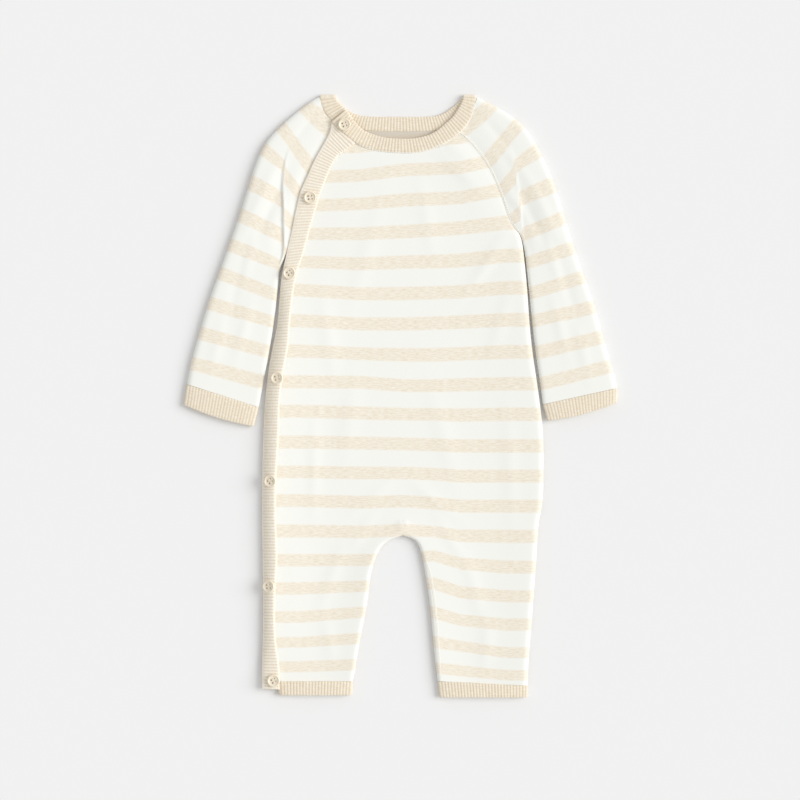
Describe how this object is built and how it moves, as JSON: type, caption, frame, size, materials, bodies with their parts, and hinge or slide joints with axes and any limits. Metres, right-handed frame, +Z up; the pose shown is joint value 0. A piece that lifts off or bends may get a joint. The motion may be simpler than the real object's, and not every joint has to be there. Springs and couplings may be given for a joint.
{
  "type": "knitted baby romper with a side button placket, laid flat",
  "caption": "Long-sleeved footless baby romper in striped knit, laid flat on its back, with a ribbed button placket from neck to hem.",
  "frame": {"origin": "on the surface it lies on, under the middle of its outline", "axes": "+Z up out of the surface, +Y from the hems to the neck, +X towards the wearer's left"},
  "size_m": [0.3675, 0.5121, 0.0128],
  "materials": {
    "striped_knit": "fine knit, cream white with heather beige stripes across",
    "ribbed_knit": "ribbed knit, heather beige",
    "buttons": "cream, softly polished"
  },
  "bodies": {
    "root": {"front_panel": "striped_knit", "back_panel": "striped_knit", "left_sleeve": "striped_knit", "right_sleeve": "striped_knit", "left_cuff": "ribbed_knit", "right_cuff": "ribbed_knit", "left_leg_hem": "ribbed_knit", "right_leg_hem": "ribbed_knit", "neckband": "ribbed_knit", "button_placket": "ribbed_knit", "button_stand": "ribbed_knit", "button_1": "buttons", "button_2": "buttons", "button_3": "buttons", "button_4": "buttons", "button_5": "buttons", "button_6": "buttons", "button_7": "buttons"}
  },
  "joints": []
}
